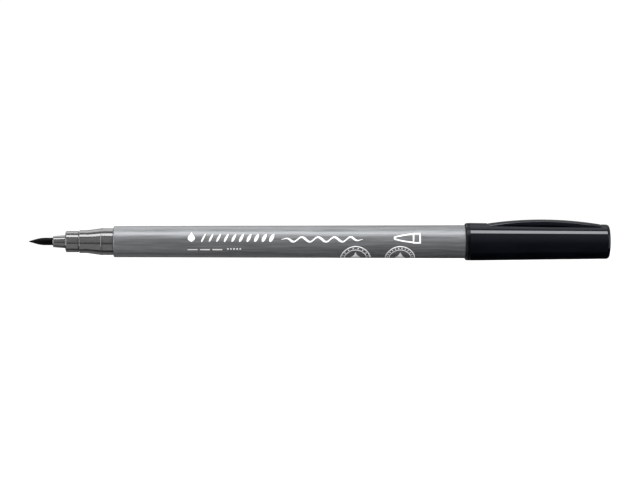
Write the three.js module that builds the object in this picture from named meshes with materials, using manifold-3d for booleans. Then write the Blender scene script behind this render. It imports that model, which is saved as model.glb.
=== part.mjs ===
// Brush pen, shown in use: the cap is pushed onto the rear end and its clip is on top.
// Millimetres, +Z up. The pen lies along X with its nib towards -X and its cap towards +X.
// A station is a distance along the pen, counted from the point of the nib.

import * as THREE from 'three';
import { mergeVertices } from 'three/addons/utils/BufferGeometryUtils.js';
import Module from 'manifold-3d';

const wasm = await Module();
wasm.setup();

// Driving dimensions.
const overallLength = 155.2;
const casingSides = 16;
const innerSides = 32;
const clipSides = 72;

const barrelFront = 22.56;
const barrelRear = 116.5;
const barrelFrontRadius = 4.165;
const barrelRearRadius = 4.435;
const barrelBore = 3.45;

const landRadius = 3.562;
const beadRadius = 3.6;
const neckRadius = 3.045;
const neckFront = 13.5;

const noseRadius = 2.84;
const sleeveFront = 6.45;
const sleeveFrontRadius = 1.48;
const sleeveRearRadius = 1.75;
const nibRadius = 1.0;
const nibBore = 1.08;
const stemRear = 37.5;

const reservoirFront = 30.8;
const reservoirRear = 108.1;
const reservoirRadius = 3.15;
const filmThickness = 0.12;

const capFront = 116.55;
const capLip = 117.7;
const capCorner = 154.35;
const capLipRadius = 5.047;
const capEndRadius = 4.622;
const capBore = 4.0;
const capEndWall = 1.0;
const gripRibReach = 3.66;
const linerFront = 127.6;

const clipFront = 122.7;
const clipRear = 152.9;
const clipApexStation = 137.0;
const clipApexRadius = 5.97;
const clipArcRadius = 98.0;
const clipHalfWidth = 2.55;
const clipGap = 0.25;
const channelDepth = 0.42;

const assemblyGap = 0.05;

// The lowest line of the pen is the flat under the cap's lip.
const axisHeight = capLipRadius;

// Points on a round or elliptical corner. Angle 0 points along the pen to the rear, and 90 degrees
// points outward.
function arc(centre, size, fromDegrees, toDegrees, steps) {
  const points = [];
  for (let step = 0; step <= steps; step += 1) {
    const angle = THREE.MathUtils.degToRad(fromDegrees + (toDegrees - fromDegrees) * step / steps);
    points.push([centre[0] + size[0] * Math.cos(angle), centre[1] + size[1] * Math.sin(angle)]);
  }
  return points;
}

// Turns an outline of [station, radius] pairs about the pen's axis. The outline runs rearward on the
// outside. It starts and ends on the axis, or else closes on itself as a ring. The flats of the turned
// form touch the true radius, and one of them faces straight down.
function turned(outline, sideCount = innerSides) {
  const onAxis = outline[0][1] === 0;
  const closed = onAxis ? outline : [...outline, outline[0]];
  const toCorner = 1 / Math.cos(Math.PI / sideCount);
  const points = closed.map(([station, radius]) => new THREE.Vector2(radius * toCorner, station));
  const geometry = new THREE.LatheGeometry(points, sideCount, Math.PI / sideCount);
  geometry.rotateZ(-Math.PI / 2);
  geometry.translate(-overallLength / 2, 0, axisHeight);
  return geometry;
}

// Makes a closed solid from a geometry, for cutting and joining.
function toSolid(geometry) {
  const bare = geometry.clone();
  bare.deleteAttribute('normal');
  bare.deleteAttribute('uv');
  const merged = mergeVertices(bare);
  return new wasm.Manifold(new wasm.Mesh({
    numProp: 3,
    vertProperties: new Float32Array(merged.attributes.position.array),
    triVerts: new Uint32Array(merged.index.array),
  }));
}

function toGeometry(solid) {
  const mesh = solid.getMesh();
  const geometry = new THREE.BufferGeometry();
  geometry.setAttribute('position', new THREE.BufferAttribute(mesh.vertProperties, 3));
  geometry.setIndex(new THREE.BufferAttribute(mesh.triVerts, 1));
  return geometry;
}

// A flat fin that stands out from the axis at the given angle, between two radii and two stations.
function fin(angle, innerRadius, outerRadius, front, rear, thickness) {
  const geometry = new THREE.BoxGeometry(rear - front, thickness, outerRadius - innerRadius);
  geometry.translate((front + rear) / 2, 0, (innerRadius + outerRadius) / 2);
  geometry.rotateX(angle);
  geometry.translate(-overallLength / 2, 0, axisHeight);
  return toSolid(geometry);
}

// A strip seen from above, with rounded corners at its front, standing up from the pen's axis.
function strip(front, rear, halfWidth, cornerRadius) {
  const height = 2 * axisHeight;
  const cornerStation = front + cornerRadius;
  const cornerPlace = halfWidth - cornerRadius;
  const shape = new THREE.Shape();
  shape.moveTo(rear, -halfWidth);
  shape.lineTo(rear, halfWidth);
  shape.lineTo(cornerStation, halfWidth);
  shape.absarc(cornerStation, cornerPlace, cornerRadius, Math.PI / 2, Math.PI, false);
  shape.absarc(cornerStation, -cornerPlace, cornerRadius, Math.PI, 1.5 * Math.PI, false);
  const geometry = new THREE.ExtrudeGeometry(shape, { depth: height, bevelEnabled: false, curveSegments: 4 });
  geometry.translate(-overallLength / 2, 0, axisHeight);
  return toSolid(geometry);
}

// The soft point is a pointed arch that runs into a short cylinder. Its rear is a ball that sits in the
// sleeve's mouth, so that the point can bend there.
function brushTipGeometry() {
  const archLength = 4.3;
  const pointRadius = 0.1;
  const fullness = 1.1;
  const steps = 8;
  const outline = [[0, 0]];
  for (let step = 0; step <= steps; step += 1) {
    const share = step / steps;
    const swell = Math.sin(share * Math.PI / 2) ** fullness;
    outline.push([archLength * share, pointRadius + (nibRadius - pointRadius) * swell]);
  }
  outline.push(...arc([sleeveFront, 0], [nibRadius, nibRadius], 90, 18, 4));
  outline.push([sleeveFront + nibRadius, 0]);
  return turned(outline);
}

function nibStemGeometry() {
  const gapBehindBall = 0.1;
  const front = sleeveFront + nibRadius + gapBehindBall;
  const chamfer = 0.3;
  return turned([
    [front, 0],
    [front, nibRadius],
    [stemRear - chamfer, nibRadius],
    [stemRear, nibRadius - chamfer],
    [stemRear, 0],
  ]);
}

function nosepieceGeometry() {
  const stepStation = 9.8;
  const fillet = 0.15;
  const shoulder = 0.42;
  const filletCentre = [stepStation - fillet, sleeveRearRadius + fillet];
  const shoulderCentre = [stepStation + shoulder, noseRadius - shoulder];
  const grooveWidth = 0.2;
  const noseRear = neckFront - grooveWidth;
  const rearChamfer = 0.12;
  const shankRadius = 2.5;
  const shankRear = 24.0;
  const mouthRadius = 1.2;
  const mouthDepth = 0.3;
  const mouthChamfer = 0.08;
  return turned([
    [sleeveFront, mouthRadius],
    [sleeveFront, sleeveFrontRadius - mouthChamfer],
    [sleeveFront + mouthChamfer, sleeveFrontRadius],
    ...arc(filletCentre, [fillet, fillet], -90, 0, 2),
    ...arc(shoulderCentre, [shoulder, shoulder], 180, 90, 4),
    [noseRear - rearChamfer, noseRadius],
    [noseRear, noseRadius - rearChamfer],
    [noseRear, shankRadius],
    [shankRear, shankRadius],
    [shankRear, nibBore],
    [sleeveFront + mouthDepth, nibBore],
  ]);
}

function frontSectionGeometry() {
  const chamfer = 0.12;
  const flareFront = 15.4;
  const flareStart = [flareFront + 0.4, neckRadius + 0.04];
  const beadStation = 19.5;
  const beadHalfWidth = 0.08;
  const landFront = 19.75;
  const landRear = barrelFront - assemblyGap;
  const spigotRadius = barrelBore - assemblyGap;
  const spigotRear = 30.4;
  const spigotChamfer = 0.3;
  const boreRadius = 2.55;
  return turned([
    [neckFront, boreRadius],
    [neckFront, neckRadius - chamfer],
    [neckFront + chamfer, neckRadius],
    [flareFront, neckRadius],
    flareStart,
    [beadStation - beadHalfWidth, beadRadius],
    [beadStation + beadHalfWidth, beadRadius],
    [landFront, landRadius],
    [landRear, landRadius],
    [landRear, spigotRadius],
    [spigotRear - spigotChamfer, spigotRadius],
    [spigotRear, spigotRadius - spigotChamfer],
    [spigotRear, boreRadius],
  ]);
}

function barrelGeometry() {
  const frontRounding = 0.5;
  const rearRounding = 0.2;
  const frontCorner = [barrelFront + frontRounding, barrelFrontRadius - frontRounding];
  const rearCorner = [barrelRear - rearRounding, barrelRearRadius - rearRounding];
  return turned([
    [barrelFront, barrelBore],
    ...arc(frontCorner, [frontRounding, frontRounding], 180, 90, 5),
    ...arc(rearCorner, [rearRounding, rearRounding], 90, 0, 3),
    [barrelRear, barrelBore],
  ], casingSides);
}

function reservoirGeometry() {
  const stemHole = nibRadius + assemblyGap;
  const gapBehindStem = 0.3;
  const holeRear = stemRear + gapBehindStem;
  return turned([
    [holeRear, 0],
    [holeRear, stemHole],
    [reservoirFront, stemHole],
    [reservoirFront, reservoirRadius],
    [reservoirRear, reservoirRadius],
    [reservoirRear, 0],
  ]);
}

function filmGeometry() {
  const overhang = 0.2;
  const innerRadius = reservoirRadius + assemblyGap;
  return turned([
    [reservoirFront + overhang, innerRadius],
    [reservoirFront + overhang, innerRadius + filmThickness],
    [reservoirRear - overhang, innerRadius + filmThickness],
    [reservoirRear - overhang, innerRadius],
  ]);
}

// The plug's shank is a cup that fits the barrel. Its tail repeats the land and bead of the front
// section, so that the cap grips both ends of the pen alike.
function endPlugGeometry() {
  const gapToReservoir = 0.3;
  const shankFront = reservoirRear + gapToReservoir;
  const shankChamfer = 0.3;
  const shankRadius = barrelBore - assemblyGap;
  const cupRadius = 2.6;
  const cupRear = 114.5;
  const tailFront = barrelRear + assemblyGap;
  const beadStation = 119.4;
  const beadSlope = 0.25;
  const tailRear = 126.0;
  const rounding = 0.6;
  return turned([
    [cupRear, 0],
    [cupRear, cupRadius],
    [shankFront, cupRadius],
    [shankFront, shankRadius - shankChamfer],
    [shankFront + shankChamfer, shankRadius],
    [tailFront, shankRadius],
    [tailFront, landRadius],
    [beadStation - beadSlope, landRadius],
    [beadStation, beadRadius],
    [beadStation + beadSlope, landRadius],
    ...arc([tailRear - rounding, landRadius - rounding], [rounding, rounding], 90, 0, 4),
    [tailRear, 0],
  ]);
}

// Outer radius of the cap behind its lip, which narrows evenly towards the closed end.
function capRadiusAt(station) {
  const share = (station - capLip) / (capCorner - capLip);
  return capLipRadius + (capEndRadius - capLipRadius) * share;
}

function capBodyOutline() {
  const lipStep = 0.02;
  const lipRounding = [0.8, 0.39];
  const lipCentre = [capFront + lipRounding[0], capLipRadius - lipStep - lipRounding[1]];
  const cornerRounding = [overallLength - capCorner, 0.62];
  const cornerCentre = [capCorner, capEndRadius - cornerRounding[1]];
  const boreRear = overallLength - capEndWall;
  const rearBore = 3.75;
  const mouthChamfer = 0.12;
  return [
    [boreRear, 0],
    [boreRear, rearBore],
    [linerFront, capBore],
    [capFront + mouthChamfer, capBore],
    [capFront, capBore + mouthChamfer],
    ...arc(lipCentre, lipRounding, 180, 90, 3),
    [capLip, capLipRadius],
    ...arc(cornerCentre, cornerRounding, 90, 0, 4),
    [overallLength, 0],
  ];
}

// Radius of the floor of the channel that the clip lies in. It follows the cap's outside.
function channelFloorAt(station) {
  return capRadiusAt(station) - channelDepth;
}

function clipChannel() {
  const front = clipFront - clipGap;
  const rear = clipRear + clipGap;
  const clear = 1.0;
  const cornerRadius = 1.0;
  const band = turned([
    [front, channelFloorAt(front)],
    [front, capRadiusAt(front) + clear],
    [rear, capRadiusAt(rear) + clear],
    [rear, channelFloorAt(rear)],
  ], clipSides);
  return toSolid(band).intersect(strip(front, rear, clipHalfWidth + clipGap, cornerRadius));
}

function capShellGeometry() {
  const ribCount = 6;
  const ribThickness = 0.8;
  const ribRoot = 0.3;
  const ribFront = capFront + 1.4;
  const ribRear = linerFront - 1.0;
  let solid = toSolid(turned(capBodyOutline(), casingSides));
  for (let rib = 0; rib < ribCount; rib += 1) {
    const angle = 2 * Math.PI * rib / ribCount;
    const outerRadius = capBore + ribRoot;
    solid = solid.add(fin(angle, gripRibReach, outerRadius, ribFront, ribRear, ribThickness));
  }
  return toGeometry(solid.subtract(clipChannel()));
}

// Radius of the clip's outer surface: an arch seen from the side, and concentric with the cap seen
// from the end.
function clipRadiusAt(station) {
  const offset = station - clipApexStation;
  return clipApexRadius - clipArcRadius + Math.sqrt(clipArcRadius ** 2 - offset ** 2);
}

// The clip is thin at its tip and full from the middle of its arm. At its root it comes down to the
// channel's floor.
function pocketClipGeometry() {
  const steps = 12;
  const rootFront = 148.6;
  const rootSlope = 0.7;
  const rootRise = 0.1;
  const tipThickness = 0.26;
  const armThickness = 0.95;
  const taperShare = 0.45;
  const floorGap = 0.06;
  const tipCorner = 0.9;
  const armLength = rootFront - clipFront;
  const outer = [];
  const inner = [];
  for (let step = 0; step <= steps; step += 1) {
    const station = clipFront + (clipRear - clipFront) * step / steps;
    outer.push([station, clipRadiusAt(station)]);
  }
  for (let step = 0; step <= steps; step += 1) {
    const station = clipFront + armLength * step / steps;
    const fromTip = Math.min(1, (station - clipFront) / (taperShare * armLength));
    const thickness = tipThickness + (armThickness - tipThickness) * fromTip;
    const floor = channelFloorAt(station) + floorGap;
    inner.push([station, Math.max(clipRadiusAt(station) - thickness, floor)]);
  }
  inner.push([rootFront + rootSlope, channelFloorAt(rootFront) + floorGap + rootRise]);
  inner.push([clipRear, channelFloorAt(clipRear) + floorGap]);
  const arch = toSolid(turned([...outer, ...inner.reverse()], clipSides));
  return toGeometry(arch.intersect(strip(clipFront, clipRear, clipHalfWidth, tipCorner)));
}

// The liner is a small cup with a sealing lip. Six fins centre it in the cap and hold it off the end.
function capLinerGeometry() {
  const finCount = 6;
  const finReach = 3.68;
  const finThickness = 0.7;
  const finFront = linerFront + 1.0;
  const gapToEndWall = 0.15;
  const finRear = overallLength - capEndWall - gapToEndWall;
  const cupRear = 146.8;
  const cupRadius = 3.4;
  const cupChamfer = 0.3;
  const chamberRadius = 2.95;
  const lipRadius = 2.87;
  const lipRim = 0.35;
  const lipLength = 0.8;
  const lipSlope = 0.3;
  const chamberChamfer = 0.4;
  const chamberRear = cupRear - 0.8;
  const clear = 1.0;
  const cup = turned([
    [linerFront, 0],
    [linerFront, lipRadius + lipRim],
    [linerFront + cupChamfer, cupRadius],
    [cupRear - cupChamfer, cupRadius],
    [cupRear, cupRadius - cupChamfer],
    [cupRear, 0],
  ]);
  const chamber = turned([
    [linerFront - clear, 0],
    [linerFront - clear, lipRadius + lipSlope],
    [linerFront + lipSlope, lipRadius],
    [linerFront + lipLength, lipRadius],
    [linerFront + lipLength + chamberChamfer, chamberRadius],
    [chamberRear - chamberChamfer, chamberRadius],
    [chamberRear, chamberRadius - chamberChamfer],
    [chamberRear, 0],
  ]);
  // Each plate runs right through the axis and gives two fins.
  let solid = toSolid(cup);
  for (let plate = 0; plate < finCount / 2; plate += 1) {
    const angle = 2 * Math.PI * plate / finCount;
    solid = solid.add(fin(angle, -finReach, finReach, finFront, finRear, finThickness));
  }
  return toGeometry(solid.subtract(toSolid(chamber)));
}

function plastic(colour, roughness) {
  return new THREE.MeshStandardMaterial({ color: colour, roughness, metalness: 0.0 });
}

function piece(name, geometry, material) {
  const mesh = new THREE.Mesh(geometry, material);
  mesh.name = name;
  return mesh;
}

const barrelGrey = () => new THREE.MeshStandardMaterial({ color: 0x85878a, roughness: 0.4, metalness: 0.35 });
const frontGrey = () => plastic(0x8b8d90, 0.28);
const glossBlack = () => plastic(0x0d0e12, 0.15);
const inkBlack = () => plastic(0x101012, 0.7);
const fibreWhite = () => plastic(0xd8d8d2, 0.9);
const filmClear = () => plastic(0xdfe3e6, 0.2);

const pen = new THREE.Group();
pen.add(piece('barrel', barrelGeometry(), barrelGrey()));
pen.add(piece('front_section', frontSectionGeometry(), frontGrey()));
pen.add(piece('nosepiece', nosepieceGeometry(), frontGrey()));
pen.add(piece('brush_tip', brushTipGeometry(), inkBlack()));
pen.add(piece('nib_stem', nibStemGeometry(), inkBlack()));
pen.add(piece('ink_reservoir', reservoirGeometry(), fibreWhite()));
pen.add(piece('reservoir_film', filmGeometry(), filmClear()));
pen.add(piece('end_plug', endPlugGeometry(), glossBlack()));

const cap = new THREE.Group();
cap.add(piece('cap_shell', capShellGeometry(), glossBlack()));
cap.add(piece('cap_inner_liner', capLinerGeometry(), fibreWhite()));
cap.add(piece('pocket_clip', pocketClipGeometry(), glossBlack()));
pen.add(cap);

export default pen;
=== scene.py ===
"""Brush pen with its cap pushed onto the rear end: the looks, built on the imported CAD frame.

A station is a distance in millimetres along the pen from the point of the nib. Shapes are written in
millimetres as (station, radius) and turned into metres where a mesh is made.
"""
import math

import bmesh
import bpy
from mathutils import Matrix, Vector


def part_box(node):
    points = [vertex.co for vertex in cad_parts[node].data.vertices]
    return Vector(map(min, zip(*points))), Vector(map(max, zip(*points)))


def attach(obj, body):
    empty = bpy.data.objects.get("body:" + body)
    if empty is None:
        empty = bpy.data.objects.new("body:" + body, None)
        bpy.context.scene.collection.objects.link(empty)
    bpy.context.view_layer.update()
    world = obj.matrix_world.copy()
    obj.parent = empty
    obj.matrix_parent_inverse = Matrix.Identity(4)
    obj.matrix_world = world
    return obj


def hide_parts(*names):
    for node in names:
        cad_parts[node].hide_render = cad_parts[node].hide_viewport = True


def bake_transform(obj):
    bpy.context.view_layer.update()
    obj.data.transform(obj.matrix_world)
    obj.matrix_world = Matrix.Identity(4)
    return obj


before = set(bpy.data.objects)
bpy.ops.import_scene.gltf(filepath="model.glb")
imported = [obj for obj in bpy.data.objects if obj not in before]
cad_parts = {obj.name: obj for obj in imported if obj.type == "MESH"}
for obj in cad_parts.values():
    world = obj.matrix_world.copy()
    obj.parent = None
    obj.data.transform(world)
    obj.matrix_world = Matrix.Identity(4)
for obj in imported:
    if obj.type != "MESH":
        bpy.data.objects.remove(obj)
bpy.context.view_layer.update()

MM = 0.001

# The pen's axis and its driving sizes, taken from the frame.
NIB_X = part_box("brush_tip")[0].x
AXIS = (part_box("end_plug")[0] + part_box("end_plug")[1]) / 2
AXIS_Z = AXIS.z


def front_of(node):
    """Station of a node's foremost point."""
    return (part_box(node)[0].x - NIB_X) / MM


def rear_of(node):
    """Station of a node's rearmost point."""
    return (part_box(node)[1].x - NIB_X) / MM


def radius_of(node):
    """Largest radius of a turned node, whose lowest line is a flat at the true radius."""
    return (AXIS_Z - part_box(node)[0].z) / MM


BARREL_FRONT = front_of("barrel")
BARREL_REAR = rear_of("barrel")
BARREL_FRONT_RADIUS = 4.165
BARREL_REAR_RADIUS = radius_of("barrel")
BARREL_BORE = 3.45

SLEEVE_FRONT = front_of("nosepiece")
NOSE_RADIUS = radius_of("nosepiece")
NECK_FRONT = front_of("front_section")
LAND_RADIUS = 3.562
BEAD_RADIUS = radius_of("front_section")
NIB_RADIUS = 1.0
FIT_GAP = 0.05

CAP_FRONT = front_of("cap_shell")
CAP_REAR = rear_of("cap_shell")
CAP_LIP = 117.7
CAP_CORNER = 154.35
CAP_LIP_RADIUS = radius_of("cap_shell")
CAP_SATIN_RADIUS = CAP_LIP_RADIUS - 0.02
CAP_END_RADIUS = 4.622
CAP_BORE = 4.0

CLIP_FRONT = front_of("pocket_clip")
CLIP_REAR = rear_of("pocket_clip")
CLIP_APEX = 137.0
CLIP_APEX_RADIUS = (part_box("pocket_clip")[1].z - AXIS_Z) / MM
CLIP_ARC_RADIUS = 98.0
CLIP_HALF_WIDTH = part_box("pocket_clip")[1].y / MM
CLIP_UPPER_ROUNDING = 0.11
CLIP_LOWER_ROUNDING = 0.08
CLIP_GAP = 0.25
CHANNEL_DEPTH = 0.42
CHANNEL_ROUNDING = 0.05

LINER_FRONT = front_of("cap_inner_liner")
LINER_REAR = rear_of("cap_inner_liner")
LINER_CUP_REAR = 146.8
LINER_CHAMBER = 2.95
LINER_RADIUS = LINER_CHAMBER + 0.45

PRINT_HEIGHT = 0.012
PRINT_SINK = 0.01

ROUND_SIDES = 192


# ---------------------------------------- places and meshes

def place(station, angle, radius):
    """A point on the pen. Angle 0 is the side that faces the camera and 90 degrees is the top."""
    return Vector((
        NIB_X + station * MM,
        AXIS.y - radius * MM * math.cos(angle),
        AXIS_Z + radius * MM * math.sin(angle),
    ))


def barrel_radius(station):
    """Outer radius of the barrel, which widens evenly towards the rear."""
    share = (station - BARREL_FRONT) / (BARREL_REAR - BARREL_FRONT)
    return BARREL_FRONT_RADIUS + (BARREL_REAR_RADIUS - BARREL_FRONT_RADIUS) * share


def cap_radius(station):
    """Outer radius of the cap, which narrows evenly from its lip to its rear corner."""
    share = (station - CAP_LIP) / (CAP_CORNER - CAP_LIP)
    return CAP_LIP_RADIUS + (CAP_END_RADIUS - CAP_LIP_RADIUS) * share


def clip_radius(station):
    """Outer radius of the clip, which is an arch seen from the side."""
    offset = station - CLIP_APEX
    return CLIP_APEX_RADIUS - CLIP_ARC_RADIUS + math.sqrt(CLIP_ARC_RADIUS ** 2 - offset ** 2)


def even_steps(start, end, count):
    """The values from start to end in that many equal steps, both ends included."""
    return [start + (end - start) * step / count for step in range(count + 1)]


def quarter_turn(steps):
    """The angles from 0 to 90 degrees in even steps."""
    return even_steps(0, math.pi / 2, steps)


def rounded(corners, steps):
    """A closed outline through (station, radius, rounding) corners, each rounded with an arc. A point
    just outside each arc keeps the shading of the straight parts flat."""
    longest_share = 0.49
    outline = []
    count = len(corners)
    for index, (station, radius, rounding) in enumerate(corners):
        here = Vector((station, radius))
        if rounding <= 0:
            outline.append(here)
            continue
        before = Vector(corners[index - 1][:2]) - here
        after = Vector(corners[(index + 1) % count][:2]) - here
        half = before.angle(after) / 2
        room = min(before.length, after.length) * longest_share
        reach = min(rounding / math.tan(half), room)
        start = here + before.normalized() * reach
        end = here + after.normalized() * reach
        middle = here + (before.normalized() + after.normalized()).normalized() * reach / math.cos(half)
        first, last = start - middle, end - middle
        turn = first.angle_signed(last)
        support = min(rounding, reach) / 4
        if before.length > 2 * (reach + support):
            outline.append(start + before.normalized() * support)
        for step in range(steps + 1):
            outline.append(middle + Matrix.Rotation(-turn * step / steps, 2) @ first)
        if after.length > 2 * (reach + support):
            outline.append(end + after.normalized() * support)
    return outline


def finished(name, work, materials):
    """Turns a bmesh into an object with smooth faces, and with sharp edges where it bends strongly."""
    same_place = 1e-8
    crease = math.radians(28)
    bmesh.ops.remove_doubles(work, verts=work.verts, dist=same_place)
    bmesh.ops.recalc_face_normals(work, faces=work.faces)
    for face in work.faces:
        face.smooth = True
    for edge in work.edges:
        edge.smooth = len(edge.link_faces) == 2 and edge.calc_face_angle(0) < crease
    mesh = bpy.data.meshes.new(name)
    work.to_mesh(mesh)
    work.free()
    piece = bpy.data.objects.new(name, mesh)
    bpy.context.scene.collection.objects.link(piece)
    for material in materials:
        mesh.materials.append(material)
    return piece


def ring_at(work, station, radius, sides=ROUND_SIDES):
    """One ring of points round the axis. Radius is a number or a function of the side. On the axis
    the ring is a single point."""
    on_axis = 1e-6
    if not callable(radius) and radius < on_axis:
        return [work.verts.new(place(station, 0, 0))]
    ring = []
    for side in range(sides):
        size = radius(side) if callable(radius) else radius
        ring.append(work.verts.new(place(station, 2 * math.pi * side / sides, size)))
    return ring


def rings_at(work, outline, sides=ROUND_SIDES):
    """A ring for each (station, radius) of an outline."""
    return [ring_at(work, station, radius, sides) for station, radius in outline]


def bridge(work, ring, following, tone=0, skip=()):
    """Joins two rings with faces. Sides named in skip are left open."""
    sides = max(len(ring), len(following))
    for side in range(sides):
        beside = (side + 1) % sides
        if side in skip or len(ring) + len(following) == 2:
            continue
        if len(ring) == 1:
            corners = [ring[0], following[side], following[beside]]
        elif len(following) == 1:
            corners = [ring[side], following[0], ring[beside]]
        else:
            corners = [ring[side], following[side], following[beside], ring[beside]]
        work.faces.new(corners).material_index = tone


def bridge_all(work, rings, tone=0, skip=()):
    """Joins each ring of a row with the next one."""
    for ring, following in zip(rings, rings[1:]):
        bridge(work, ring, following, tone, skip)


def turned(name, outline, materials, sides=ROUND_SIDES):
    """Turns a closed outline of (station, radius) about the axis."""
    work = bmesh.new()
    rings = rings_at(work, outline, sides)
    bridge_all(work, rings)
    bridge(work, rings[-1], rings[0])
    return finished(name, work, materials)


# ---------------------------------------- strips seen from above

class Strip:
    """A straight strip on top of the cap, seen from above, with rounded corners at each end."""

    def __init__(self, front, rear, half_width, front_rounding, rear_rounding):
        self.front = front
        self.rear = rear
        self.half_width = half_width
        self.front_rounding = front_rounding
        self.rear_rounding = rear_rounding

    def edge_point(self, point, offset):
        """The point of the strip's outline, moved out by offset, that lies nearest to a point."""
        station, across = point
        near_front = station < (self.front + self.rear) / 2
        rounding = self.front_rounding if near_front else self.rear_rounding
        inner = Vector((
            min(max(station, self.front + rounding), self.rear - rounding),
            min(max(across, rounding - self.half_width), self.half_width - rounding),
        ))
        return inner + (Vector(point) - inner).normalized() * (rounding + offset)


def border(rows, columns):
    """The places along the border of a grid, once round."""
    last_row, last_column = rows - 1, columns - 1
    places = [(0, column) for column in range(last_column)]
    places += [(row, last_column) for row in range(last_row)]
    places += [(last_row, column) for column in range(last_column, 0, -1)]
    places += [(row, 0) for row in range(last_row, 0, -1)]
    return places


def filled_grid(edge, rows, columns):
    """Points for a whole grid from the points on its border, as a smooth patch between four sides."""
    grid = dict(edge)
    last_row, last_column = rows - 1, columns - 1
    for row in range(1, last_row):
        for column in range(1, last_column):
            u = row / last_row
            v = column / last_column
            ends = edge[0, column].lerp(edge[last_row, column], u)
            sides = edge[row, 0].lerp(edge[row, last_column], v)
            front = edge[0, 0].lerp(edge[0, last_column], v)
            rear = edge[last_row, 0].lerp(edge[last_row, last_column], v)
            grid[row, column] = ends + sides - front.lerp(rear, u)
    return grid


def on_top(point, radius):
    """A plan point (station, across) raised onto a surface of that radius about the axis."""
    station, across = point
    return Vector((
        NIB_X + station * MM,
        AXIS.y + across * MM,
        AXIS_Z + math.sqrt(radius ** 2 - across ** 2) * MM,
    ))


def quad_grid(work, verts, rows, columns):
    """Faces for a grid of points kept by (row, column)."""
    for row in range(rows - 1):
        for column in range(columns - 1):
            work.faces.new([
                verts[row, column],
                verts[row + 1, column],
                verts[row + 1, column + 1],
                verts[row, column + 1],
            ])


def quad_loop(work, loop, following):
    """Faces between two closed loops of as many points."""
    for index in range(len(loop)):
        beside = (index + 1) % len(loop)
        work.faces.new([loop[index], following[index], following[beside], loop[beside]])


def fill_loop(work, size, edge, loop, radius):
    """Fills a loop with a smooth face. Size is the face's rows and columns, edge holds the plan point of
    each point of the loop, and radius is a function of the station."""
    rows, columns = size
    places = border(rows, columns)
    verts = dict(zip(places, loop))
    for where, point in filled_grid(dict(zip(places, edge)), rows, columns).items():
        if where not in verts:
            verts[where] = work.verts.new(on_top(point, radius(point[0])))
    quad_grid(work, verts, rows, columns)


# ---------------------------------------- materials

# Nearly all of a noise lies between these two values.
NOISE_LOW = 0.3
NOISE_HIGH = 0.7

UNSTRETCHED = (1, 1, 1)


def new_material(name):
    """A new node material. Returns it with its node tree and its shader."""
    material = bpy.data.materials.new(name)
    material.use_nodes = True
    return material, material.node_tree, material.node_tree.nodes["Principled BSDF"]


def object_noise(tree, scale, detail, stretch=UNSTRETCHED):
    """A noise in the pen's own space. Stretch says how many times finer it is along each axis."""
    place_node = tree.nodes.new("ShaderNodeTexCoord")
    mapping = tree.nodes.new("ShaderNodeMapping")
    mapping.inputs["Scale"].default_value = stretch
    noise = tree.nodes.new("ShaderNodeTexNoise")
    noise.inputs["Scale"].default_value = scale
    noise.inputs["Detail"].default_value = detail
    tree.links.new(place_node.outputs["Object"], mapping.inputs["Vector"])
    tree.links.new(mapping.outputs["Vector"], noise.inputs["Vector"])
    return noise.outputs["Fac"]


def noise_colour(tree, noise, low, high):
    """Runs from the low colour to the high colour with the noise."""
    node = tree.nodes.new("ShaderNodeValToRGB")
    node.color_ramp.elements[0].position = NOISE_LOW
    node.color_ramp.elements[0].color = (*low, 1)
    node.color_ramp.elements[1].position = NOISE_HIGH
    node.color_ramp.elements[1].color = (*high, 1)
    tree.links.new(noise, node.inputs["Fac"])
    return node.outputs["Color"]


def map_range(tree, value, start, end, low, high):
    """Runs from low to high as the value goes from start to end."""
    node = tree.nodes.new("ShaderNodeMapRange")
    node.inputs["From Min"].default_value = start
    node.inputs["From Max"].default_value = end
    node.inputs["To Min"].default_value = low
    node.inputs["To Max"].default_value = high
    tree.links.new(value, node.inputs["Value"])
    return node.outputs["Result"]


def bump(tree, shader, value, height, strength):
    """Raises the surface by up to height metres where the value is high."""
    node = tree.nodes.new("ShaderNodeBump")
    node.inputs["Strength"].default_value = strength
    node.inputs["Distance"].default_value = height
    tree.links.new(value, node.inputs["Height"])
    tree.links.new(node.outputs["Normal"], shader.inputs["Normal"])


def grained_material(name, scale, detail, stretch, colours, roughness, relief, strength, others):
    """A material whose colour, roughness and relief all follow one noise. Colours and roughness are
    each a low and a high value, and relief is a height in metres. Others are the shader's remaining
    values by name."""
    material, tree, shader = new_material(name)
    noise = object_noise(tree, scale, detail, stretch)
    colour = noise_colour(tree, noise, *colours)
    tree.links.new(colour, shader.inputs["Base Color"])
    dullness = map_range(tree, noise, NOISE_LOW, NOISE_HIGH, *roughness)
    tree.links.new(dullness, shader.inputs["Roughness"])
    bump(tree, shader, noise, relief, strength)
    for socket, value in others.items():
        shader.inputs[socket].default_value = value
    return material


def grey(level, blue=0.0):
    """A grey whose blue is stronger by the given share."""
    return (level, level * (1 + blue / 2), level * (1 + blue))


def barrel_finish():
    """Silver-grey polypropylene with faint lengthwise flow marks."""
    return grained_material(
        "barrel_grey_plastic",
        scale=2000, detail=4, stretch=(0.05, 1, 1),
        colours=(grey(0.088, 0.08), grey(0.144, 0.08)),
        roughness=(0.36, 0.45), relief=0.00003, strength=0.5,
        others={"Metallic": 0.38},
    )


def front_finish():
    """The smoother, shinier grey of the front section and the nosepiece."""
    return grained_material(
        "front_grey_plastic",
        scale=500, detail=3, stretch=(0.5, 1, 1),
        colours=(grey(0.038, 0.03), grey(0.050, 0.03)),
        roughness=(0.08, 0.14), relief=0.000006, strength=0.4,
        others={"Metallic": 0.12, "IOR": 1.6},
    )


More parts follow.
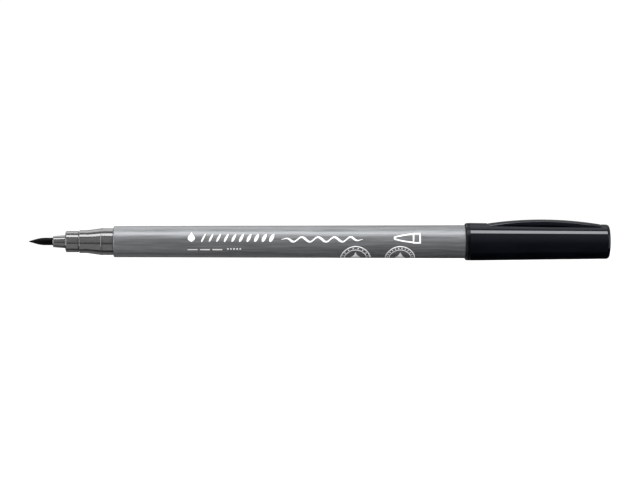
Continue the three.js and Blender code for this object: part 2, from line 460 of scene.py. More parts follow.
def gloss_black_finish():
    """Polished black cap plastic with the faint haze of handling."""
    return grained_material(
        "cap_gloss_black",
        scale=350, detail=4, stretch=(0.4, 1, 1),
        colours=((0.0010, 0.0014, 0.0030), (0.0016, 0.0022, 0.0044)),
        roughness=(0.035, 0.065), relief=0.000004, strength=0.3,
        others={"Specular Tint": (0.93, 0.96, 1.0, 1)},
    )


def satin_black_finish():
    """The eroded mould texture of the cap's lip."""
    return grained_material(
        "cap_satin_black",
        scale=9000, detail=2, stretch=UNSTRETCHED,
        colours=((0.0004, 0.0006, 0.0012), (0.0012, 0.0015, 0.0026)),
        roughness=(0.29, 0.36), relief=0.00002, strength=0.5,
        others={"Specular IOR Level": 0.10, "Specular Tint": (0.90, 0.94, 1.0, 1)},
    )


def nib_finish():
    """Ink-soaked fibres that run to the point."""
    return grained_material(
        "nib_fibre_black",
        scale=7000, detail=2, stretch=(0.05, 1, 1),
        colours=((0.0002, 0.0002, 0.0002), (0.0008, 0.0008, 0.0009)),
        roughness=(0.36, 0.48), relief=0.00002, strength=0.5,
        others={"Specular IOR Level": 0.03},
    )


def liner_finish():
    """Natural polyethylene, milky and slightly waxy."""
    return grained_material(
        "liner_natural_white",
        scale=600, detail=3, stretch=UNSTRETCHED,
        colours=((0.66, 0.67, 0.64), (0.78, 0.79, 0.77)),
        roughness=(0.34, 0.46), relief=0.00001, strength=0.3,
        others={"Subsurface Weight": 0.15, "Subsurface Scale": 0.001},
    )


def reservoir_finish():
    """Drawn fibre in uneven grey, stained by the ink."""
    return grained_material(
        "reservoir_fibre",
        scale=5000, detail=3, stretch=(0.04, 1, 1),
        colours=((0.10, 0.10, 0.11), (0.35, 0.35, 0.36)),
        roughness=(0.9, 0.9), relief=0.00006, strength=0.8,
        others={},
    )


def film_finish():
    """Thin clear film with fine wrinkles."""
    return grained_material(
        "reservoir_film_clear",
        scale=1500, detail=2, stretch=(0.2, 1, 1),
        colours=((0.72, 0.74, 0.76), (0.86, 0.88, 0.90)),
        roughness=(0.12, 0.25), relief=0.00003, strength=0.5,
        others={"Transmission Weight": 0.7},
    )


def print_finish():
    """White pad-printed ink with a slightly uneven coat."""
    return grained_material(
        "print_white_ink",
        scale=6000, detail=3, stretch=UNSTRETCHED,
        colours=(grey(0.80), grey(0.92)),
        roughness=(0.35, 0.5), relief=0.000004, strength=0.4,
        others={},
    )


BARREL_GREY = barrel_finish()
FRONT_GREY = front_finish()
GLOSS_BLACK = gloss_black_finish()
SATIN_BLACK = satin_black_finish()
NIB_BLACK = nib_finish()
LINER_WHITE = liner_finish()
RESERVOIR_FIBRE = reservoir_finish()
FILM_CLEAR = film_finish()
PRINT_WHITE = print_finish()


# ---------------------------------------- camera

def make_camera():
    """A long lens level with the pen, a little towards the nib and turned back to the pen's middle."""
    data = bpy.data.cameras.new("camera")
    data.lens = 135
    data.sensor_width = 36
    data.clip_start = 0.01
    data.clip_end = 20
    camera = bpy.data.objects.new("camera", data)
    bpy.context.scene.collection.objects.link(camera)
    distance = 0.6423
    sideways = -0.01524
    above_axis = 0.000455
    yaw = math.radians(-1.367)
    camera.location = (sideways, AXIS.y - distance, AXIS_Z + above_axis)
    camera.rotation_euler = (math.radians(90), 0, yaw)
    bpy.context.scene.camera = camera


# ---------------------------------------- light

def area_light(name, width, height, radiance, location, rotation):
    """A rectangular light that the camera can't see. Radiance is its own brightness."""
    data = bpy.data.lights.new(name, "AREA")
    data.shape = "RECTANGLE"
    data.size = width
    data.size_y = height
    data.energy = radiance * math.pi * width * height
    light = bpy.data.objects.new(name, data)
    bpy.context.scene.collection.objects.link(light)
    light.location = location
    light.rotation_euler = rotation
    light.visible_camera = False
    return light


def panel(name, elevation, distance, across, span, radiance):
    """A softbox that runs along the pen over a span of X and faces the pen's axis. Elevation 0 is on
    the camera's side, 90 is overhead and -90 is below the floor."""
    left, right = span
    angle = math.radians(elevation)
    location = (
        (left + right) / 2,
        AXIS.y - distance * math.cos(angle),
        AXIS_Z + distance * math.sin(angle),
    )
    rotation = (math.radians(90 - elevation), 0, 0)
    return area_light(name, right - left, across, radiance, location, rotation)


def card(name, elevation, distance, across, span, radiance):
    """A panel that only shows in reflections."""
    light = panel(name, elevation, distance, across, span, radiance)
    light.visible_diffuse = False


def side_card(name, bearing, height, width, radiance):
    """An upright card beside the camera that only shows in reflections. It draws the fine light lines
    on the edges that face its end of the pen. Bearing 0 is at the camera, 90 beyond the cap."""
    distance = 0.50
    angle = math.radians(bearing)
    location = (distance * math.sin(angle), AXIS.y - distance * math.cos(angle), AXIS_Z)
    light = area_light(name, width, height, radiance, location, (math.radians(90), 0, angle))
    light.visible_diffuse = False


def make_lights():
    """Plain soft studio light. Distances are in metres."""
    bpy.context.scene.view_settings.view_transform = "Standard"
    # The key draws the bright line along the upper half. It is weaker over the cap.
    panel("key_panel_nose", elevation=64, distance=0.40, across=0.165, span=(-0.32, 0.055), radiance=12.6)
    panel("key_panel_cap", elevation=63, distance=0.40, across=0.145, span=(0.055, 0.18), radiance=8.5)
    # Beyond the top, these light the upper edge of the grey parts and only just that of the cap.
    panel("rear_panel_nose", elevation=119, distance=0.45, across=0.29, span=(-0.35, 0.005), radiance=3.3)
    panel("rear_panel_middle", elevation=105, distance=0.45, across=0.12, span=(0.005, 0.06), radiance=7.0)
    panel("rear_panel_cap", elevation=103, distance=0.45, across=0.28, span=(0.06, 0.20), radiance=0.5)
    # The glossy grey front reflects one card along its middle, and one along its lower half.
    card("front_card_nose", elevation=16, distance=0.55, across=0.50, span=(-0.45, -0.06), radiance=0.92)
    card("low_card_nose", elevation=-52, distance=0.40, across=0.43, span=(-0.40, -0.05), radiance=1.70)
    # These give the cap's lower half its faint sheen, and the grey parts a light lower rim.
    card("low_card_cap", elevation=-45, distance=0.40, across=0.44, span=(0.0, 0.20), radiance=0.055)
    card("rim_card", elevation=-126, distance=0.40, across=0.34, span=(-0.40, 0.02), radiance=0.65)
    # A small fill lightens the rear of the barrel and stays out of reflections.
    fill = panel("rear_fill", elevation=42, distance=0.09, across=0.04, span=(0.02, 0.09), radiance=8.5)
    fill.visible_glossy = False
    side_card("nose_side_card", bearing=-60, height=1.0, width=0.16, radiance=8.5)
    side_card("cap_side_card", bearing=60, height=0.70, width=0.20, radiance=1.6)


def make_world():
    """A dim room that is darkest below. Only the camera itself sees it as a white backdrop."""
    lowest = -0.4
    highest = 0.6
    low_strength = 0.008
    high_strength = 0.35
    backdrop_strength = 1.05
    world = bpy.data.worlds.new("studio")
    bpy.context.scene.world = world
    world.use_nodes = True
    tree = world.node_tree
    direction = tree.nodes.new("ShaderNodeTexCoord")
    parts = tree.nodes.new("ShaderNodeSeparateXYZ")
    tree.links.new(direction.outputs["Generated"], parts.inputs["Vector"])
    room = map_range(tree, parts.outputs["Z"], lowest, highest, low_strength, high_strength)
    path = tree.nodes.new("ShaderNodeLightPath")
    choice = tree.nodes.new("ShaderNodeMix")
    choice.inputs["B"].default_value = backdrop_strength
    tree.links.new(path.outputs["Is Camera Ray"], choice.inputs["Factor"])
    tree.links.new(room, choice.inputs["A"])
    tree.links.new(choice.outputs["Result"], tree.nodes["Background"].inputs["Strength"])
    tree.nodes["Background"].inputs["Color"].default_value = (1, 1, 1, 1)


def floor_finish():
    """Matt white that the camera sees glow more and more away from the pen."""
    near = 0.12
    far = 0.50
    near_glow = 0.5
    far_glow = 1.0
    material, tree, shader = new_material("table_white")
    mottle = object_noise(tree, scale=4, detail=2)
    tree.links.new(noise_colour(tree, mottle, grey(0.37), grey(0.39)), shader.inputs["Base Color"])
    shader.inputs["Roughness"].default_value = 0.9
    shader.inputs["Emission Color"].default_value = (1, 1, 1, 1)
    place_node = tree.nodes.new("ShaderNodeTexCoord")
    away = tree.nodes.new("ShaderNodeVectorMath")
    away.operation = "LENGTH"
    tree.links.new(place_node.outputs["Object"], away.inputs[0])
    glow = map_range(tree, away.outputs["Value"], near, far, near_glow, far_glow)
    path = tree.nodes.new("ShaderNodeLightPath")
    seen = tree.nodes.new("ShaderNodeMath")
    seen.operation = "MULTIPLY"
    tree.links.new(glow, seen.inputs[0])
    tree.links.new(path.outputs["Is Camera Ray"], seen.inputs[1])
    tree.links.new(seen.outputs["Value"], shader.inputs["Emission Strength"])
    return material


def make_floor():
    """A plain white table top that fades into the backdrop. It stays out of reflections, so that the
    black cap keeps its dark lower half."""
    half = 0.9
    work = bmesh.new()
    corners = [(-half, -half, 0), (half, -half, 0), (half, half, 0), (-half, half, 0)]
    work.faces.new([work.verts.new(corner) for corner in corners])
    floor = finished("table_top", work, [floor_finish()])
    floor.visible_glossy = False
    floor.visible_shadow = False


# ---------------------------------------- turned pieces

def make_barrel():
    """The long tube, round-edged in front."""
    outline = rounded([
        (BARREL_FRONT, BARREL_BORE, 0.08),
        (BARREL_FRONT, BARREL_FRONT_RADIUS, 0.5),
        (BARREL_REAR, BARREL_REAR_RADIUS, 0.2),
        (BARREL_REAR, BARREL_BORE, 0.08),
    ], 10)
    piece = turned("barrel_tube", outline, [BARREL_GREY])
    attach(piece, "pen")
    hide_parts("barrel")


def make_front_section():
    """Neck, flare, snap bead and land, with a spigot into the barrel. The chamfers at the neck's front
    and before the bead slope so that they catch the light of the nose's side card."""
    bore = 2.55
    neck_radius = NOSE_RADIUS + 0.205
    flare_front = 15.4
    bead = 19.5
    land_rear = BARREL_FRONT - FIT_GAP
    spigot_radius = BARREL_BORE - FIT_GAP
    spigot_rear = rear_of("front_section")
    outline = rounded([
        (NECK_FRONT, bore, 0.05),
        (NECK_FRONT, neck_radius - 0.04, 0.01),
        (NECK_FRONT + 0.08, neck_radius, 0.01),
        (flare_front, neck_radius, 3.0),
        (bead - 0.24, BEAD_RADIUS - 0.04, 0.01),
        (bead - 0.16, BEAD_RADIUS, 0.01),
        (bead + 0.08, BEAD_RADIUS, 0.03),
        (bead + 0.25, LAND_RADIUS, 0.12),
        (land_rear, LAND_RADIUS, 0.05),
        (land_rear, spigot_radius, 0.03),
        (spigot_rear, spigot_radius, 0.3),
        (spigot_rear, bore, 0.05),
    ], 8)
    piece = turned("front_grip", outline, [FRONT_GREY])
    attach(piece, "pen")
    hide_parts("front_section")


def make_nosepiece():
    """Slim sleeve, shoulder and collar, with a shank into the front section. Its front edges have the
    same light-catching chamfers."""
    sleeve_tip_radius = 1.485
    step = 9.8
    rear = NECK_FRONT - 0.2
    shank_radius = 2.5
    shank_rear = rear_of("nosepiece")
    bore = 1.08
    outline = rounded([
        (SLEEVE_FRONT, 1.2, 0.03),
        (SLEEVE_FRONT, sleeve_tip_radius - 0.06, 0.01),
        (SLEEVE_FRONT + 0.12, sleeve_tip_radius, 0.02),
        (step, 1.75, 0.15),
        (step, NOSE_RADIUS - 0.20, 0.16),
        (step + 0.16, NOSE_RADIUS - 0.07, 0.05),
        (step + 0.30, NOSE_RADIUS, 0.05),
        (rear, NOSE_RADIUS, 0.12),
        (rear, shank_radius, 0.03),
        (shank_rear, shank_radius, 0.08),
        (shank_rear, bore, 0.05),
        (SLEEVE_FRONT + 0.3, bore, 0.05),
    ], 8)
    piece = turned("nose_collar", outline, [FRONT_GREY])
    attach(piece, "pen")
    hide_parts("nosepiece")


def nib_outline():
    """The nib from its fine point along its stem to the rear, where it is chamfered."""
    arch_length = 4.3
    point_radius = 0.1
    steps = 40
    spacing = 0.2
    chamfer = 0.3
    rear = rear_of("nib_stem")
    outline = [Vector((0, 0))]
    for step in range(steps + 1):
        share = step / steps
        swell = math.sin(share * math.pi / 2) ** 1.1
        outline.append(Vector((arch_length * share, point_radius + (NIB_RADIUS - point_radius) * swell)))
    station = arch_length
    while station < SLEEVE_FRONT + 2.0:
        station += spacing
        outline.append(Vector((station, NIB_RADIUS)))
    outline.append(Vector((rear - chamfer, NIB_RADIUS)))
    outline.append(Vector((rear, NIB_RADIUS - chamfer)))
    outline.append(Vector((rear, 0)))
    return outline


def make_nib():
    """The brush point and its stem in one piece, so that nothing opens where the point bends. It leaves
    its sleeve slightly above the middle."""
    rise = 0.07
    settling_length = 4.0
    piece = turned("brush_nib", nib_outline(), [NIB_BLACK], sides=96)
    for vert in piece.data.vertices:
        inside = ((vert.co.x - NIB_X) / MM - SLEEVE_FRONT) / settling_length
        vert.co.z += rise * MM * min(1.0, max(0.0, 1.0 - inside))
    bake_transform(piece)
    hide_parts("brush_tip", "nib_stem")


def make_reservoir():
    """The fibre rod that holds the ink, with a hole in front for the nib's stem."""
    front = front_of("ink_reservoir")
    rear = rear_of("ink_reservoir")
    radius = radius_of("ink_reservoir")
    hole = NIB_RADIUS + FIT_GAP
    hole_rear = rear_of("nib_stem") + 0.3
    outline = rounded([
        (hole_rear, 0, 0),
        (hole_rear, hole, 0.05),
        (front, hole, 0.05),
        (front, radius, 0.1),
        (rear, radius, 0.1),
        (rear, 0, 0),
    ], 3)
    piece = turned("ink_fibre_core", outline, [RESERVOIR_FIBRE], sides=96)
    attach(piece, "pen")
    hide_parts("ink_reservoir")


def make_film():
    """The thin clear tube round the fibre rod."""
    front = front_of("reservoir_film")
    rear = rear_of("reservoir_film")
    radius = radius_of("reservoir_film")
    inner = radius - 0.12
    outline = rounded([
        (front, inner, 0.02),
        (front, radius, 0.02),
        (rear, radius, 0.02),
        (rear, inner, 0.02),
    ], 2)
    piece = turned("ink_core_film", outline, [FILM_CLEAR], sides=96)
    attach(piece, "pen")
    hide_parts("reservoir_film")


def make_end_plug():
    """A hollow shank in the barrel, and behind it the tail with its bead that the cap is pushed onto."""
    front = front_of("end_plug")
    rear = rear_of("end_plug")
    tail_front = BARREL_REAR + FIT_GAP
    shank = BARREL_BORE - FIT_GAP
    cup = 2.6
    cup_rear = 114.5
    bead = 119.4
    half_bead = 0.25
    outline = rounded([
        (cup_rear, 0, 0),
        (cup_rear, cup, 0.4),
        (front, cup, 0.1),
        (front, shank, 0.3),
        (tail_front, shank, 0.03),
        (tail_front, LAND_RADIUS, 0.1),
        (bead - half_bead, LAND_RADIUS, 0.1),
        (bead, BEAD_RADIUS, 0.12),
        (bead + half_bead, LAND_RADIUS, 0.1),
        (rear, LAND_RADIUS, 0.6),
        (rear, 0, 0),
    ], 8)
    piece = turned("rear_plug", outline, [GLOSS_BLACK])
    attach(piece, "pen")
    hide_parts("end_plug")


# ---------------------------------------- cap

def lip_outline():
    """The satin lip, rounded over at the cap's mouth."""
    length = 0.95
    height = 0.26
    outline = [
        (
            CAP_FRONT + length * (1 - math.cos(angle)),
            CAP_SATIN_RADIUS - height * (1 - math.sin(angle)),
        )
        for angle in quarter_turn(8)
    ]
    outline.append((CAP_LIP - 0.005, CAP_SATIN_RADIUS))
    return outline


def end_outline():
    """The cap's rounded rear corner and the middle of its closed end."""
    corner_height = 0.62
    outline = [
        (
            CAP_CORNER + (CAP_REAR - CAP_CORNER) * math.sin(angle),
            CAP_END_RADIUS - corner_height * (1 - math.cos(angle)),
        )
        for angle in quarter_turn(8)
    ]
    outline.append((CAP_REAR, 0))
    return outline


def ribbed_bore(side):
    """Bore radius where the grip ribs stand: six ribs, each about 0.8 mm wide."""
    rib_reach = 3.66
    rib_count = 6
    pitch = ROUND_SIDES // rib_count
    from_rib = min(side % pitch, pitch - side % pitch)
    return rib_reach if from_rib <= 3 else CAP_BORE


def bore_outline():
    """The cap's inside from its closed end to its mouth."""
    wall_end = CAP_REAR - 1.0
    rear_radius = 3.75
    rib_front = CAP_FRONT + 1.4
    rib_rear = LINER_FRONT - 1.0
    mouth_chamfer = 0.12
    return [
        (wall_end, 0),
        (wall_end, rear_radius - 0.3),
        (wall_end - 0.1, rear_radius - 0.09),
        (wall_end - 0.3, rear_radius),
        (LINER_FRONT, CAP_BORE),
        (rib_rear, CAP_BORE),
        (rib_rear - 0.2, ribbed_bore),
        (rib_front + 0.4, ribbed_bore),
        (rib_front, CAP_BORE),
        (CAP_FRONT + mouth_chamfer, CAP_BORE),
        (CAP_FRONT, CAP_BORE + mouth_chamfer),
    ]


def channel_section():
    """The channel's side as (outward offset, depth): flat land, rounded rim, wall and rounded foot."""
    rim = CHANNEL_ROUNDING
    section = [(6 * rim, 0.0), (1.6 * rim, 0.0)]
    section += [
        (rim * (1 - math.sin(angle)), rim * (1 - math.cos(angle)))
        for angle in quarter_turn(5)
    ]
    section += [
        (rim * (math.cos(angle) - 1), CHANNEL_DEPTH - rim * (1 - math.sin(angle)))
        for angle in quarter_turn(4)
    ]
    return section


def sink_channel(work, channel, rings, first_side, columns):
    """Fills the opening that the rings leave on top with a channel, whose floor follows the cap."""
    size = (len(rings), columns)
    loop = [rings[row][first_side + column] for row, column in border(*size)]
    plan = [((vert.co.x - NIB_X) / MM, (vert.co.y - AXIS.y) / MM) for vert in loop]
    for offset, depth in channel_section():
        edge = [channel.edge_point(point, offset) for point in plan]
        following = [work.verts.new(on_top(point, cap_radius(point[0]) - depth)) for point in edge]
        quad_loop(work, loop, following)
        loop = following
    fill_loop(work, size, edge, loop, lambda station: cap_radius(station) - CHANNEL_DEPTH)


def make_cap():
    """The cap shell in one mesh, with the clip's channel on top and grip ribs in the mouth."""
    work = bmesh.new()
    channel = Strip(CLIP_FRONT - CLIP_GAP, CLIP_REAR + CLIP_GAP, CLIP_HALF_WIDTH + CLIP_GAP, 1.0, 0.35)
    margin = 0.5
    stations = even_steps(channel.front - margin, channel.front + 1.25, 7)
    stations += even_steps(channel.front + 1.25, channel.rear - margin, 24)[1:]
    stations += even_steps(channel.rear - margin, channel.rear + margin, 5)[1:]
    half_open = 24
    first_open = ROUND_SIDES // 4 - half_open
    open_sides = range(first_open, first_open + 2 * half_open)
    step_run = 0.02
    satin = 1

    lip = rings_at(work, lip_outline())
    step = rings_at(work, [(CAP_LIP, CAP_SATIN_RADIUS), (CAP_LIP + step_run, CAP_LIP_RADIUS)])
    wall = rings_at(work, [(station, cap_radius(station)) for station in stations])
    end = rings_at(work, end_outline())
    bore = rings_at(work, bore_outline())
    bridge_all(work, lip + step[:1], satin)
    bridge_all(work, step + wall[:1])
    bridge_all(work, wall, 0, open_sides)
    bridge_all(work, wall[-1:] + end)
    bridge_all(work, bore)
    bridge(work, bore[-1], lip[0], satin)
    sink_channel(work, channel, wall, first_open, 2 * half_open + 1)

    piece = finished("cap_body", work, [GLOSS_BLACK, SATIN_BLACK])
    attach(piece, "cap")
    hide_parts("cap_shell")


def clip_thickness(station):
    """Thin at the tip, full from the middle of the arm, and down to just above the channel's floor at
    the root."""
    tip = 0.26
    arm = 0.95
    root_front = 148.6
    root_run = 1.2
    floor_gap = 0.03
    growth_length = 0.45 * (root_front - CLIP_FRONT)
    thickness = tip + (arm - tip) * min(1.0, (station - CLIP_FRONT) / growth_length)
    root = clip_radius(station) - (cap_radius(station) - CHANNEL_DEPTH + floor_gap)
    share = min(1.0, max(0.0, (station - root_front + root_run / 3) / root_run))
    share = share * share * (3 - 2 * share)
    return thickness + (root - thickness) * share


def clip_underside(station):
    """Radius of the clip's lower face."""
    return clip_radius(station) - clip_thickness(station)


def upper_level(angle):
    """One level of the clip's rounded upper edge: its inset from the clip's outline, and its depth below
    the upper face as a function of the station."""
    def depth(station):
        return min(CLIP_UPPER_ROUNDING, 0.45 * clip_thickness(station)) * (1 - math.cos(angle))
    return CLIP_UPPER_ROUNDING * (1 - math.sin(angle)), depth


def lower_level(angle):
    """One level of the clip's rounded lower edge, in the same form."""
    def depth(station):
        thickness = clip_thickness(station)
        return thickness - min(CLIP_LOWER_ROUNDING, 0.3 * thickness) * (1 - math.sin(angle))
    return CLIP_LOWER_ROUNDING * (1 - math.cos(angle)), depth


def make_clip():
    """The arched clip. It follows the cap at its root and bends along its arm."""
    outline = Strip(CLIP_FRONT, CLIP_REAR, CLIP_HALF_WIDTH, 0.9, 0.25)
    margin = 0.4
    stations = even_steps(CLIP_FRONT - margin, CLIP_FRONT + 1.2, 8)
    stations += even_steps(CLIP_FRONT + 1.2, CLIP_REAR - 4.8, 36)[1:]
    stations += even_steps(CLIP_REAR - 4.8, CLIP_REAR + margin, 20)[1:]
    across = even_steps(-CLIP_HALF_WIDTH - margin, CLIP_HALF_WIDTH + margin, 28)
    size = (len(stations), len(across))
    plan = [(stations[row], across[column]) for row, column in border(*size)]
    levels = [upper_level(angle) for angle in quarter_turn(5)]
    levels += [lower_level(angle) for angle in quarter_turn(5)]

    work = bmesh.new()
    edges, loops = [], []
    for inset, depth in levels:
        edge = [outline.edge_point(point, -inset) for point in plan]
        radii = [clip_radius(point[0]) - depth(point[0]) for point in edge]
        edges.append(edge)
        loops.append([work.verts.new(on_top(*spot)) for spot in zip(edge, radii)])
    for loop, following in zip(loops, loops[1:]):
        quad_loop(work, loop, following)
    fill_loop(work, size, edges[0], loops[0], clip_radius)
    fill_loop(work, size, edges[-1], loops[-1], clip_underside)

    piece = finished("clip_arch", work, [GLOSS_BLACK])
    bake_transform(piece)
    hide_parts("pocket_clip")


def make_liner_cup():
    """The inner cup, open towards the nib, with a narrower lip that seals round the nose."""
    lip = 2.87
    end_wall = 0.8
    outline = rounded([
        (LINER_FRONT + 0.3, lip, 0.25),
        (LINER_FRONT, lip + 0.33, 0.04),
        (LINER_FRONT + 0.3, LINER_RADIUS, 0.2),
        (LINER_CUP_REAR, LINER_RADIUS, 0.3),
        (LINER_CUP_REAR, 0, 0),
        (LINER_CUP_REAR - end_wall, 0, 0),
        (LINER_CUP_REAR - end_wall, LINER_CHAMBER, 0.4),
        (LINER_FRONT + 1.2, LINER_CHAMBER, 0.3),
        (LINER_FRONT + 0.8, lip, 0.3),
    ], 5)
    cup = turned("liner_cup", outline, [LINER_WHITE], sides=128)
    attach(cup, "cap")
    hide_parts("cap_inner_liner")


def make_liner_fins():
    """Six fins that centre the cup in the cap. Each starts just inside the cup's wall and end."""
    fin_front = LINER_FRONT + 1.0
    fin_count = 6
    reach = 3.68
    foot = 0.45
    half_thickness = 0.35
    overlap = 0.05
    root = LINER_RADIUS - overlap
    profile = [
        (fin_front, root),
        (fin_front + 0.3, reach),
        (LINER_REAR - 0.2, reach),
        (LINER_REAR, reach - 0.2),
        (LINER_REAR, foot),
        (LINER_CUP_REAR - overlap, foot),
        (LINER_CUP_REAR - overlap, root),
    ]
    work = bmesh.new()
    for index in range(fin_count):
        angle = math.pi / 2 + 2 * math.pi * index / fin_count
        aside = Vector((0, -math.sin(angle), -math.cos(angle))) * half_thickness * MM
        near = [work.verts.new(place(station, angle, radius) - aside) for station, radius in profile]
        far = [work.verts.new(place(station, angle, radius) + aside) for station, radius in profile]
        quad_loop(work, near, far)
        work.faces.new(list(reversed(near)))
        work.faces.new(far)
    fins = finished("liner_fins", work, [LINER_WHITE])
    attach(fins, "cap")


# ---------------------------------------- printed marks
# Plain marks stand where the real pen has words: nothing here is a letter or a maker's sign.
# A place on the barrel's print is (station, rise): rise is measured round the barrel, upwards from
# the line that faces the camera.

def on_barrel(station, rise, height):
    """The point at a place of the print, height above the barrel's surface."""
    radius = barrel_radius(station)
    return place(station, rise / radius, radius + height)


def path_direction(path, index, closed):
    """The direction of a path at one of its places."""
    last = len(path) - 1
    if closed:
        before, after = path[index - 1], path[(index + 1) % len(path)]
    else:
        before, after = path[max(0, index - 1)], path[min(last, index + 1)]
    return Vector((after[0] - before[0], after[1] - before[1])).normalized()


def print_stroke(work, path, half_widths, closed=False):
    """A flat printed stroke along a path, which follows the barrel's curve. It is a closed body whose
    top stands a hundredth of a millimetre proud and whose underside is sunk into the barrel."""
    lane_width = 0.22
    count = len(path)
    lanes = max(1, math.ceil(2 * max(half_widths) / lane_width))
    tops, bottoms = [], []
    for index, (station, rise) in enumerate(path):
        along = path_direction(path, index, closed)
        aside = Vector((-along.y, along.x))
        top, bottom = [], []
        for lane in range(lanes + 1):
            shift = aside * half_widths[index] * (2 * lane / lanes - 1)
            spot = (station + shift.x, rise + shift.y)
            top.append(work.verts.new(on_barrel(*spot, PRINT_HEIGHT)))
            bottom.append(work.verts.new(on_barrel(*spot, -PRINT_SINK)))
        tops.append(top)
        bottoms.append(bottom)
    for index in range(count if closed else count - 1):
        following = (index + 1) % count
        for lane in range(lanes):
            for rows in (tops, bottoms):
                work.faces.new([
                    rows[index][lane], rows[following][lane],
                    rows[following][lane + 1], rows[index][lane + 1],
                ])
        for lane in (0, lanes):
            work.faces.new([
                tops[index][lane], tops[following][lane],
                bottoms[following][lane], bottoms[index][lane],
            ])
    if not closed:
        for end in (0, -1):
            for lane in range(lanes):
                work.faces.new([
                    tops[end][lane], tops[end][lane + 1],
                    bottoms[end][lane + 1], bottoms[end][lane],
                ])


def leaf_widths(count, widest, sharpness, fullest=0.5):
    """Half-widths of a stroke that starts and ends in a point. Fullest is where along it, from 0 to 1,
    the stroke is widest."""
    power = math.log(0.5) / math.log(fullest)
    finest = 0.03
    return [
        finest + (widest - finest) * math.sin(math.pi * share ** power) ** sharpness
        for share in even_steps(0, 1, count - 1)
    ]


def line_between(start, end, count):
    """Evenly spaced places on a straight line."""
    stations = even_steps(start[0], end[0], count - 1)
    rises = even_steps(start[1], end[1], count - 1)
    return list(zip(stations, rises))


def print_line(work, start, end, half_width):
    """A straight stroke of one width."""
    spacing = 0.3
    count = max(2, math.ceil(math.dist(start, end) / spacing))
    print_stroke(work, line_between(start, end, count), [half_width] * count)


def print_ring(work, centre, radius, half_width):
    """A closed round stroke, with 24 steps for each millimetre of its radius."""
    count = max(16, math.ceil(radius * 24))
    path = []
    for step in range(count):
        angle = 2 * math.pi * step / count
        path.append((centre[0] + radius * math.cos(angle), centre[1] + radius * math.sin(angle)))
    print_stroke(work, path, [half_width] * count, closed=True)


def print_drop(work, centre, height, half_width):
    """A drop of ink with its point upwards."""
    count = 33
    top = (centre[0], centre[1] + height / 2)
    bottom = (centre[0], centre[1] - height / 2)
    print_stroke(work, line_between(top, bottom, count), leaf_widths(count, half_width, 0.9, 0.66))


def print_dabs(work, front, rear, low, high, count):
    """A row of slanted dabs of the brush, from fine to broad."""
    half_lean = 0.55
    finest = 0.22
    broadest = 0.48
    points = 21
    pitch = (rear - front) / count
    for index in range(count):
        middle = front + pitch * (index + 0.5)
        path = line_between((middle - half_lean, low), (middle + half_lean, high), points)
        half_width = finest + (broadest - finest) * index / (count - 1)
        print_stroke(work, path, leaf_widths(points, half_width, 0.7, 0.42))


def print_wave(work, front, rear, middle, swing, waves):
    """One long wavy stroke that is broad on its downward runs and fine on its upward ones."""
    count = 40 * waves
    path, half_widths = [], []
    for share in even_steps(0, 1, count):
        turn = 2 * math.pi * waves * share
        ease = min(1.0, 8 * share, 8 * (1 - share))
        path.append((front + (rear - front) * share, middle + swing * ease * math.sin(turn)))
        half_widths.append(0.05 + ease * (0.10 + 0.13 * (1 - math.cos(turn)) / 2))
    print_stroke(work, path, half_widths)


def print_dashes(work, front, rise, count):
    """A row of short level dashes."""
    pitch = 3.3
    length = 2.6
    for dash in range(count):
        start = front + pitch * dash
        print_line(work, (start, rise), (start + length, rise), 0.16)


def print_dots(work, front, rise, count):
    """A row of small dots."""
    pitch = 0.82
    radius = 0.24
    points = 9
    for dot in range(count):
        middle = front + pitch * dot
        path = line_between((middle - radius, rise), (middle + radius, rise), points)
        print_stroke(work, path, leaf_widths(points, radius, 0.5))


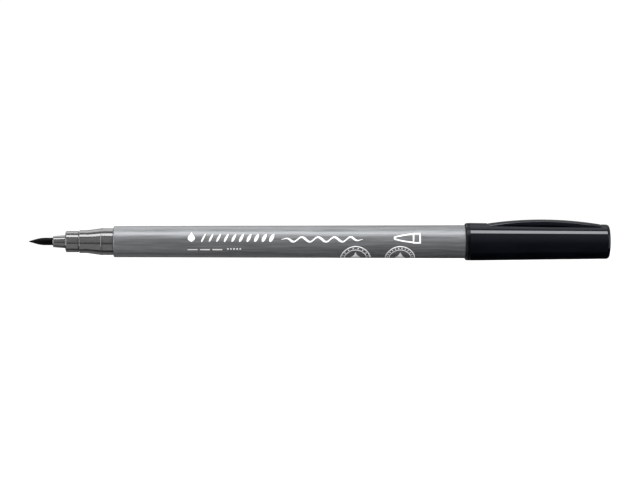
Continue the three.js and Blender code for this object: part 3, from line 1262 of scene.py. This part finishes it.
def print_nib_sign(work, tip, rear, middle):
    """A pictogram of the tip: a leaf-shaped brush in a ferrule. Its strokes keep clear of each other."""
    ferrule_front = rear - 1.75
    half_ferrule = 1.45
    stroke = 0.17
    clear = 0.02
    leaf_rear = ferrule_front - stroke - clear
    for side in (1, -1):
        path, half_widths = [], []
        for share in even_steps(0, 1, 24):
            rise = 0.14 + 0.98 * math.sin(share * 1.35) ** 0.85
            path.append((tip + (leaf_rear - tip) * share, middle + side * rise))
            half_widths.append(min(stroke, rise - clear))
        print_stroke(work, path, half_widths)
    low, high = middle - half_ferrule, middle + half_ferrule
    print_line(work, (ferrule_front, low), (ferrule_front, high), stroke)
    print_line(work, (rear, low), (rear, high), stroke)
    for edge in (low + stroke, high - stroke):
        print_line(work, (ferrule_front + stroke + clear, edge), (rear - stroke - clear, edge), stroke)


def print_seal(work, centre, radius, ticks):
    """A plain round sign: two rings with ticks between them and a drop in the middle."""
    inner = radius * 0.74
    print_ring(work, centre, radius, 0.13)
    print_ring(work, centre, inner, 0.10)
    for tick in range(ticks):
        angle = 2 * math.pi * (tick + 0.5) / ticks
        out = Vector((math.cos(angle), math.sin(angle)))
        start = Vector(centre) + out * (inner + 0.28)
        end = Vector(centre) + out * (radius - 0.32)
        print_line(work, tuple(start), tuple(end), 0.12)
    print_drop(work, centre, inner * 1.5, inner * 0.45)


def make_print():
    """All the printed marks in one mesh, from the nib's end to the cap's end."""
    seal_rise = -5.2
    seal_radius = 3.9
    work = bmesh.new()
    print_drop(work, (43.4, 1.36), height=2.8, half_width=0.95)
    print_dabs(work, front=45.6, rear=65.8, low=-0.05, high=2.15, count=10)
    print_wave(work, front=67.3, rear=89.0, middle=0.62, swing=0.62, waves=5)
    print_dashes(work, front=42.4, rise=-2.2, count=3)
    print_dots(work, front=53.1, rise=-2.0, count=5)
    print_nib_sign(work, tip=97.25, rear=104.25, middle=0.97)
    print_seal(work, (87.1, seal_rise), seal_radius, ticks=16)
    print_seal(work, (99.0, seal_rise), seal_radius, ticks=24)
    piece = finished("barrel_print", work, [PRINT_WHITE])
    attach(piece, "pen")


# ---------------------------------------- run

make_camera()
make_lights()
make_world()
make_floor()
make_barrel()
make_front_section()
make_nosepiece()
make_nib()
make_reservoir()
make_film()
make_end_plug()
make_cap()
make_clip()
make_liner_cup()
make_liner_fins()
make_print()
